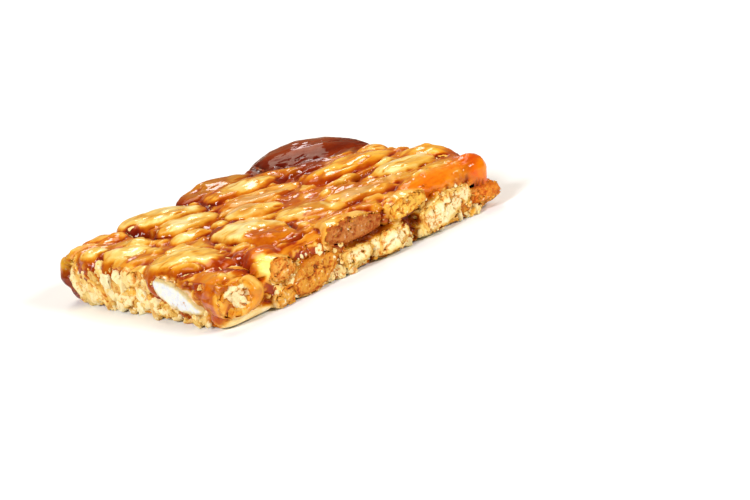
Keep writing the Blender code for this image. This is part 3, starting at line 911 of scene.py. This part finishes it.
# What lies beneath: the nearest kernel's flesh, crumbs and bits, and the places with their own look,
# among them painted glow, painted shade and painted sheen.
beneath = flesh_of[which] * (1 + 0.18 * streaks)[:, None]
beneath += (np.array(CREAM) - beneath) * np.maximum(crumbed, 0.8 * bits)[:, None]
gold_rim = is_ring * ramp(0.2, 0.6, way @ RING_FACES) * ramp(-30.0, -28.0, points[:, 0])
for middle, sizes, colour, seems in WINDOWS:
    share = within(points, middle, sizes, edge) * ~bare * (1 - crumbed)
    share *= 1 - 0.8 * gold_rim * ramp(1.6, 2.6, points[:, 2])
    swings = (0.2 + 0.5 * seems) * waves
    thick += (seems + swings + 0.35 * seems * streaks - thick) * share
    beneath += (np.array(colour) - beneath) * share[:, None]
for middle, sizes, colour in PAINTED_SHEEN_PLACES:
    share = within(points, middle, sizes, edge + 0.2 * streaks) * upward * PAINTED_SHEEN_SHARE
    thick += (PAINTED_SHEEN_DEPTH - thick) * share
    beneath += (np.array(colour) - beneath) * share[:, None]
put(caramel.data, "caramel_depth", softened(caramel.data, np.maximum(thick, 0), 1))
put(caramel.data, "nut_colour", softened(caramel.data, np.clip(beneath, 0, 1), 1))
put(caramel.data, "crumbed", crumbed)


def coarser_underside(piece):
    """The flat underside needs few faces: most of its own are taken away."""
    places = points_of(piece.data)
    under = piece.vertex_groups.new(name="underside")
    under.add(np.nonzero(places[:, 2] < UNDERSIDE)[0].tolist(), 1.0, "REPLACE")
    fewer = piece.modifiers.new("fewer", "DECIMATE")
    fewer.ratio = UNDERSIDE_KEPT
    fewer.vertex_group = "underside"
    applied(piece)
    piece.vertex_groups.clear()


MOTTLES_PER_METRE = 700
DIMPLES_PER_METRE = 900
GLASS_ROUGHNESS = 0.08
CRUMBED_ROUGHER = 0.45
CARAMEL_IOR = 1.35


def caramel_material():
    """Glossy set caramel over whatever lies beneath it, dull where crumbs stick to it. Its depth is
    mottled, the more the deeper it is."""
    made, tree, shader = finish_material("set_caramel")
    glaze = add_node(tree, "ShaderNodeGroup", node_tree=caramel_over_nut)
    mottle = grain(tree, MOTTLES_PER_METRE, 5, 0.6, (0.4, 1, 1), 0.6)
    speck = grain(tree, SPECKS_PER_METRE, 3, 0.6)
    swing = maths(tree, "ADD", swung(tree, mottle, 0.80), swung(tree, speck, 0.25))
    share = maths(tree, "MULTIPLY_ADD", stored(tree, "caramel_depth")[0], 0.5, 0.30)
    swing = maths(tree, "MULTIPLY", swing, maths(tree, "MINIMUM", share, 1.0))
    mottled = maths(tree, "ADD", stored(tree, "caramel_depth")[0], swing)
    tree.links.new(maths(tree, "MAXIMUM", mottled, 0.0), glaze.inputs["Depth"])
    tree.links.new(stored(tree, "nut_colour")[1], glaze.inputs["Nut Colour"])
    tree.links.new(glaze.outputs["Colour"], shader.inputs["Base Color"])
    crumbs = stored(tree, "crumbed")[0]
    dull = maths(tree, "MULTIPLY_ADD", crumbs, CRUMBED_ROUGHER, GLASS_ROUGHNESS)
    tree.links.new(dull, shader.inputs["Roughness"])
    shader.inputs["IOR"].default_value = CARAMEL_IOR
    inputs = {
        "Strength": 0.25,
        "Distance": 0.1 * METRES,
        "Height": grain(tree, DIMPLES_PER_METRE, 5, 0.6, (0.3, 1, 1)),
    }
    tree.links.new(add_node(tree, "ShaderNodeBump", inputs).outputs[0], shader.inputs["Normal"])
    return made


coarser_underside(caramel)
finish_piece(caramel, caramel_material())
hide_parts("caramel")

# --------------------------------------------------------------------------------------------------
# The crumbs of the broken sides. Bits of nut from dust to small chunks, chopped with the kernels or
# knocked off them when the square was snapped, half sunk in the caramel of the four side walls.
# --------------------------------------------------------------------------------------------------

CRUMB_SIZES = (0.25, 0.75)
SMALLEST_CHUNK = 1.0
CRUMB_SHAPE = (1.0, 0.80, 0.65)
CRUMB_SHAPES = 9
CRUMB_FACETS = 9
CRUMB_ROUGH = 0.20
CRUMB_SINK = 0.15
CRUMB_REACH = 0.25
PRESSED_BACK = 0.8
SOAKED_CRUMB = 0.4
SOAKED_BACK = 0.4
CRUMB_TONES = (CREAM, CREAM, CREAM, CREAM, PALE, PALE, PEACH, GOLDEN)
CORNER_MARGIN = 1.5
LOOKS_FROM = 6.0
LONGEST_LOOK = 9.0
TRIES = 20

# Crumbs keep off the clean cut on the left side, whose middle and half sizes these are, and off the
# broken corner kernel: so many of its radii round it, as far along the piece as it goes. Only small
# ones, and few of those, stick to a bare kernel.
CLEAN_CUT = ((-30.0, -12.8, 5.4), (3.0, 8.4, 4.2))
RING_KEPT_CLEAR = 1.25
RING_ENDS_AT = -19
SMALL_CRUMB = 0.5
ON_KERNELS = 0.08

# The way out of each side, how many crumbs and how many chunks stick to it, how high up they go,
# and how long half of the largest chunk is.
CRUMBED_SIDES = {
    "left": ((-1, 0, 0), 190, 64, 8.0, 2.4),
    "front": ((0, -1, 0), 150, 18, 7.2, 1.5),
    "right": ((1, 0, 0), 120, 30, 7.2, 2.2),
    "back": ((0, 1, 0), 130, 32, 7.2, 2.2),
}


def broken_lump(random, fineness):
    """A broken bit about 2 across: flat broken faces with worn edges. Its points and its faces."""
    bm = bmesh.new()
    bmesh.ops.create_icosphere(bm, subdivisions=fineness, radius=1)
    ways_out = np.array([vert.co for vert in bm.verts])
    faces = np.array([[vert.index for vert in face.verts] for face in bm.faces])
    bm.free()
    facet_ways = random.normal(size=(CRUMB_FACETS, 3))
    facet_ways /= np.linalg.norm(facet_ways, axis=1)[:, None]
    facet_reach = random.uniform(0.52, 0.95, CRUMB_FACETS)
    reach = facet_reach / np.clip(ways_out @ facet_ways.T, 0.05, None)
    reach = (reach**-12.0).sum(1) ** (-1 / 12.0)
    return ways_out * np.minimum(reach, 1.0)[:, None] * CRUMB_SHAPE, faces


def hides_something(met, size):
    """Whether a crumb of a size would hide the clean cut, the ring or a place with its own look."""
    if met[0, 0] < RING_ENDS_AT and round_ring(met)[0] < RING_KEPT_CLEAR:
        return True
    spaces = (CLEAN_CUT, *(window[:2] for window in WINDOWS))
    grown_by = size * 0.6
    return max(within(met, mid, np.add(half, grown_by), 0.0)[0] for mid, half in spaces) >= 0.3


def place_on_wall(random, out, wall_at, top, size):
    """Where a crumb of a size sticks: a point of the wall that a look from outside meets, or None
    if no try finds one."""
    aside = np.array((abs(out[1]), abs(out[0]), 0.0))
    reach = (HALF_WIDTH if out[0] else HALF_LENGTH) - CORNER_MARGIN
    for _ in range(TRIES):
        at = aside * random.uniform(-reach, reach)
        at = at + (0, 0, size * 0.6 + (top - size) * random.random() ** 1.3)
        start = Vector(at + out * (wall_at + LOOKS_FROM))
        hit = wall_tree.ray_cast(start, Vector(-out), LONGEST_LOOK)
        if hit[0] is None or hit[1].dot(Vector(out)) < 0.2:
            continue
        on_kernel = wall_owner[hit[2]] > 0
        if on_kernel and (size > SMALL_CRUMB or random.random() > ON_KERNELS):
            continue
        if not hides_something(np.array([hit[0]]), size):
            return np.array(hit[0])
    return None


def stuck_crumb(turned, size, place, out, wall_at, number):
    """The points of a crumb that sticks at a place, and how rough each is. Where it would stand out
    too far from the wall it is pressed back."""
    crumb = turned * size
    rough = ripples(crumb, 0.4 + 0.25 * size, number, 4)
    crumb *= 1 + (CRUMB_ROUGH * rough)[:, None]
    crumb += place - out * size * CRUMB_SINK
    proud = crumb @ out - wall_at - CRUMB_REACH * ramp(-1.0, 2.5, crumb[:, 2])
    crumb -= np.clip(proud, 0, None)[:, None] * out * PRESSED_BACK
    crumb[:, 2] = np.maximum(crumb[:, 2], 0.02)
    return crumb, rough


def sticking_crumbs(name, side, seed):
    """One side's crumbs and chunks as one mesh."""
    out, crumbs, chunks, top, largest = side
    out = np.array(out, dtype=float)
    wall_at = HALF_LENGTH if out[0] else HALF_WIDTH
    random = np.random.default_rng(seed)
    lumps = {f: [broken_lump(random, f) for _ in range(CRUMB_SHAPES)] for f in (2, 3, 4)}
    all_points, all_faces, all_colours, all_hollow, all_soaked = [], [], [], [], []
    start = 0
    for number in range(crumbs + chunks):
        low, high = (SMALLEST_CHUNK, largest) if number < chunks else CRUMB_SIZES
        size = low + (high - low) * random.random() ** 1.2
        turn = np.array(Euler(random.uniform(0, 2 * np.pi, 3)).to_matrix())
        tone = np.array(CRUMB_TONES[random.integers(len(CRUMB_TONES))])
        fineness = 4 if size > 1.3 else 3 if size > 0.6 else 2
        shape, faces = lumps[fineness][number % CRUMB_SHAPES]
        place = place_on_wall(random, out, wall_at, top, size)
        if place is None:
            continue
        turned = shape @ turn.T
        crumb, rough = stuck_crumb(turned, size, place, out, wall_at, number)
        all_points.append(crumb)
        all_faces.append(faces + start)
        all_colours.append(np.broadcast_to(tone * random.uniform(0.85, 1.04), crumb.shape))
        # Each crumb has its own tone, at random; its low bumps are darker and its raised ones paler,
        # painted shade and highlight.
        all_hollow.append(random.uniform(-0.60, 0.15) - 1.0 * rough)
        soaked = SOAKED_CRUMB * random.random() ** 2 + SOAKED_BACK * ramp(0.0, 0.6, -turned @ out)
        all_soaked.append(soaked + 0.15 * rough)
        start += len(crumb)
    mesh = bpy.data.meshes.new(name)
    mesh.from_pydata(np.concatenate(all_points).tolist(), [], np.concatenate(all_faces).tolist())
    put_flesh(
        mesh,
        np.clip(np.concatenate(all_colours), 0, 1),
        np.concatenate(all_hollow),
        np.maximum(np.concatenate(all_soaked), 0),
    )
    piece = bpy.data.objects.new(name, mesh)
    bpy.context.scene.collection.objects.link(piece)
    finish_piece(piece, broken_flesh)


cut_pieces = [kernel["piece"] for kernel in kernels if kernel["kind"] == "cut"]
wall_tree, wall_owner = joined_tree([caramel, *cut_pieces])
for number, (name, side) in enumerate(CRUMBED_SIDES.items()):
    sticking_crumbs("nut_crumbs_" + name, side, 70 + number)

# --------------------------------------------------------------------------------------------------
# The studio. A pale matt floor under a dim sky that is brighter and warmer behind the piece, and
# soft square lights at the left, in front, above and behind. The camera is rolled, because the
# piece leans in the photograph.
# --------------------------------------------------------------------------------------------------

# Angles in degrees, and the pixel that the middle of the piece falls on.
AZIMUTH = -33.0
ELEVATION = 16.4
ROLL = -14.9
DISTANCE = 500.0
PIXELS_PER_MM = 5.66
IMAGE_WIDTH = 750
IMAGE_HEIGHT = 500
CENTRE_PIXEL = (276, 231)
CENTRE_HEIGHT = 4.3
SENSOR_WIDTH = 36

azimuth, elevation, roll = (np.radians(angle) for angle in (AZIMUTH, ELEVATION, ROLL))
back = Vector(
    (
        np.sin(azimuth) * np.cos(elevation),
        -np.cos(azimuth) * np.cos(elevation),
        np.sin(elevation),
    )
)
sideways = Vector((0, 0, 1)).cross(back).normalized()
upright = back.cross(sideways)
right = sideways * np.cos(roll) + upright * np.sin(roll)
up = upright * np.cos(roll) - sideways * np.sin(roll)
aside = (IMAGE_WIDTH / 2 - CENTRE_PIXEL[0]) / PIXELS_PER_MM
above = (CENTRE_PIXEL[1] - IMAGE_HEIGHT / 2) / PIXELS_PER_MM
aim = Vector((0, 0, CENTRE_HEIGHT)) + right * aside + up * above
camera_data = bpy.data.cameras.new("camera")
camera_data.sensor_width = SENSOR_WIDTH
camera_data.lens = SENSOR_WIDTH * PIXELS_PER_MM * DISTANCE / IMAGE_WIDTH
camera_data.clip_end = 20
camera = bpy.data.objects.new("camera", camera_data)
bpy.context.scene.collection.objects.link(camera)
turned = Matrix((right, up, back)).transposed().to_4x4()
turned.translation = (aim + back * DISTANCE) * METRES
camera.matrix_world = turned
bpy.context.scene.camera = camera
bpy.context.scene.view_settings.view_transform = "Standard"

# The floor, in metres: it lies a hair under the piece.
FLOOR_REACH = 2.0
FLOOR_DROP = 0.00002
FLOOR_COLOUR = (0.93, 0.96, 1.0, 1)

floor_mesh = bpy.data.meshes.new("floor")
floor_corners = [
    (-FLOOR_REACH, -FLOOR_REACH, 0),
    (FLOOR_REACH, -FLOOR_REACH, 0),
    (FLOOR_REACH, FLOOR_REACH, 0),
    (-FLOOR_REACH, FLOOR_REACH, 0),
]
floor_mesh.from_pydata(floor_corners, [], [(0, 1, 2, 3)])
floor = bpy.data.objects.new("floor", floor_mesh)
bpy.context.scene.collection.objects.link(floor)
floor.location.z = -FLOOR_DROP
pale, _, pale_shader = finish_material("floor")
pale_shader.inputs["Base Color"].default_value = FLOOR_COLOUR
pale_shader.inputs["Roughness"].default_value = 0.9
pale_shader.inputs["Specular IOR Level"].default_value = 0.1
floor_mesh.materials.append(pale)

SKY_STRENGTH = 0.12
BRIGHTER_BEHIND = 0.26
SKY_COLOUR = (1.0, 0.97, 0.93, 1)
COLOUR_BEHIND = (1.0, 0.72, 0.42, 1)

world = bpy.data.worlds.new("studio")
world.use_nodes = True
sky = world.node_tree
where = add_node(sky, "ShaderNodeTexCoord").outputs["Generated"]
behind = (-back.x, -back.y, 0.45)
facing = add_node(sky, "ShaderNodeVectorMath", (where, behind), operation="DOT_PRODUCT")
bright = rise(sky, facing.outputs[1], 0.25, 0.60)
strength = maths(sky, "MULTIPLY_ADD", bright, BRIGHTER_BEHIND, SKY_STRENGTH)
tint = mixed(sky, bright, SKY_COLOUR, COLOUR_BEHIND)
sky.links.new(tint, sky.nodes["Background"].inputs["Color"])
sky.links.new(strength, sky.nodes["Background"].inputs["Strength"])
bpy.context.scene.world = world


def softbox(name, place, size, power, colour=(1, 1, 1)):
    """A square light that points at the piece. Its place and size are in metres."""
    light = bpy.data.lights.new(name, "AREA")
    light.shape = "SQUARE"
    light.size = size
    light.energy = power
    light.color = colour
    made = bpy.data.objects.new(name, light)
    bpy.context.scene.collection.objects.link(made)
    made.location = place
    made.rotation_euler = Vector(place).to_track_quat("Z", "Y").to_euler()


softbox("light_left", (-1.65, -0.50, 1.30), 0.60, 34.0)
softbox("light_front", (0.60, -1.80, 1.10), 0.50, 27.0)
softbox("light_above", (0.10, 0.55, 1.45), 0.80, 8.5, (1.0, 0.89, 0.70))
softbox("light_behind", (0.70, 1.10, 1.20), 0.36, 4.0)
